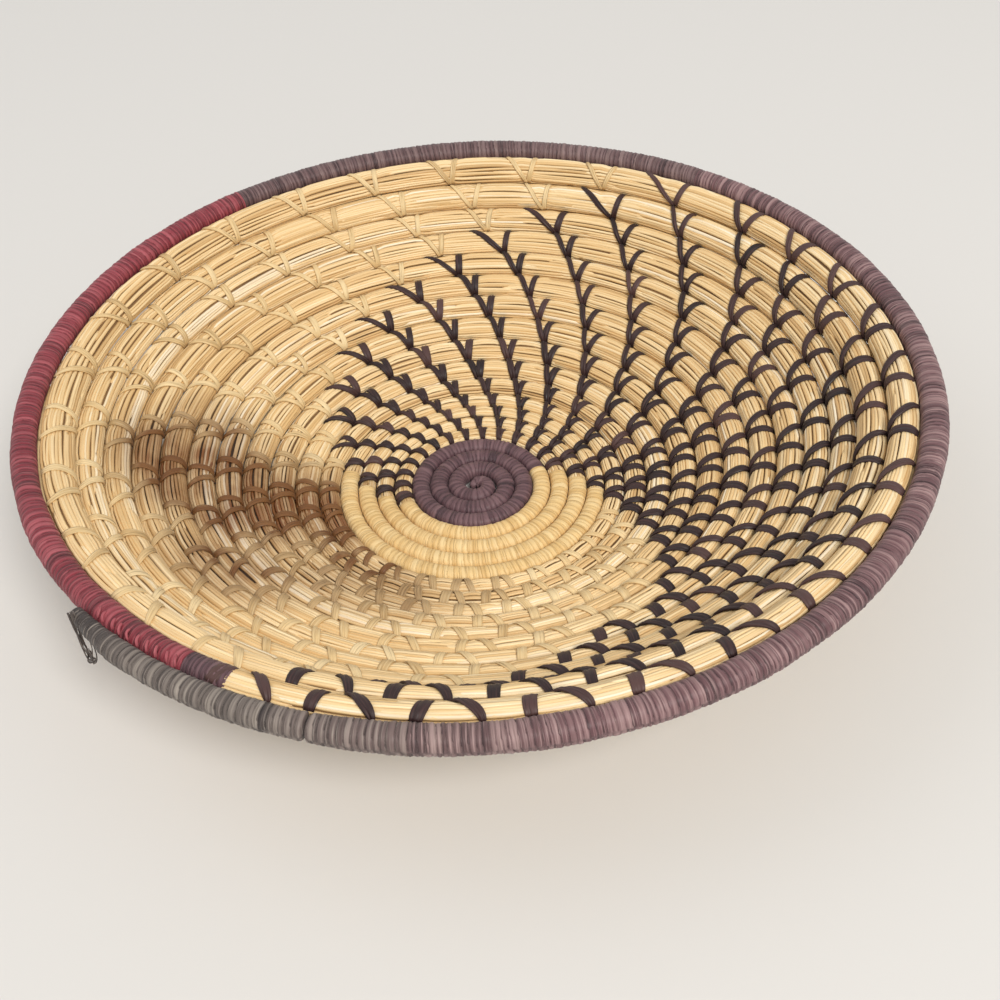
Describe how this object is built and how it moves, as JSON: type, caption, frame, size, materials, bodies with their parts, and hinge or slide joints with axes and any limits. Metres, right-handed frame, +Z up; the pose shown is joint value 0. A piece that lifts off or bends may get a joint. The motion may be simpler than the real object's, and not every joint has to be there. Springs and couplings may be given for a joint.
{
  "type": "coiled sweetgrass basket",
  "caption": "Shallow coiled grass bowl: one spiral bundle of stems bound with raffia, with a wrapped centre, swirling dark forked stitches and a rim wrapped in changing colours.",
  "frame": {"origin": "the point on the standing surface below the middle of the bowl's outline; the winding's own middle lies 2.28 mm to -X and 2.28 mm to +Y of it, because a spiral is not quite round", "axes": "+Z up out of the bowl's mouth, -Y towards the viewer of the picture, +X to the picture's right"},
  "size_m": [0.3166, 0.3212, 0.0639],
  "materials": {
    "sweetgrass": "dry straw-coloured grass stems, satin, brown in the gaps between stems",
    "natural_raffia": "undyed raffia strip, satin with fine fibres along it",
    "dark_raffia": "raffia dyed almost black, soft sheen",
    "dark_plum_raffia": "raffia dyed dark plum, faded on the crests",
    "plum_raffia": "raffia dyed plum brown, soft sheen on the crests",
    "maroon_raffia": "raffia dyed maroon, soft sheen",
    "charcoal_raffia": "raffia dyed dark grey, soft sheen",
    "grey_raffia": "dyed raffia faded to grey, fibrous"
  },
  "bodies": {
    "root": {"foundation_coil": "sweetgrass", "centre_wrap": "dark_plum_raffia", "inner_wrap_1": "natural_raffia", "inner_wrap_2": "natural_raffia", "inner_wrap_3": "natural_raffia", "inner_wrap_4": "natural_raffia", "rim_wrap_start": "dark_plum_raffia", "rim_wrap_maroon": "maroon_raffia", "rim_wrap_charcoal": "charcoal_raffia", "rim_wrap_plum": "plum_raffia", "rim_wrap_tail": "grey_raffia", "dark_stitches_01": "dark_raffia", "dark_stitches_02": "dark_raffia", "dark_stitches_03": "dark_raffia", "dark_stitches_04": "dark_raffia", "dark_stitches_05": "dark_raffia", "dark_stitches_06": "dark_raffia", "dark_stitches_07": "dark_raffia", "dark_stitches_08": "dark_raffia", "dark_stitches_09": "dark_raffia", "dark_stitches_10": "dark_raffia", "dark_stitches_11": "dark_raffia", "dark_stitches_12": "dark_raffia", "dark_stitches_13": "dark_raffia", "dark_stitches_14": "dark_raffia", "dark_stitches_15": "dark_raffia", "dark_stitches_16": "dark_raffia", "dark_stitches_17": "dark_raffia", "dark_stitches_18": "dark_raffia", "dark_stitches_19": "dark_raffia", "dark_stitches_20": "dark_raffia", "dark_stitches_21": "dark_raffia", "dark_stitches_22": "dark_raffia", "dark_stitches_23": "dark_raffia", "dark_stitches_24": "dark_raffia", "dark_stitches_25": "dark_raffia", "dark_stitches_26": "dark_raffia", "dark_stitches_27": "dark_raffia", "dark_stitches_28": "dark_raffia", "dark_stitches_29": "dark_raffia", "dark_stitches_30": "dark_raffia", "loose_strand": "grey_raffia"}
  },
  "joints": []
}
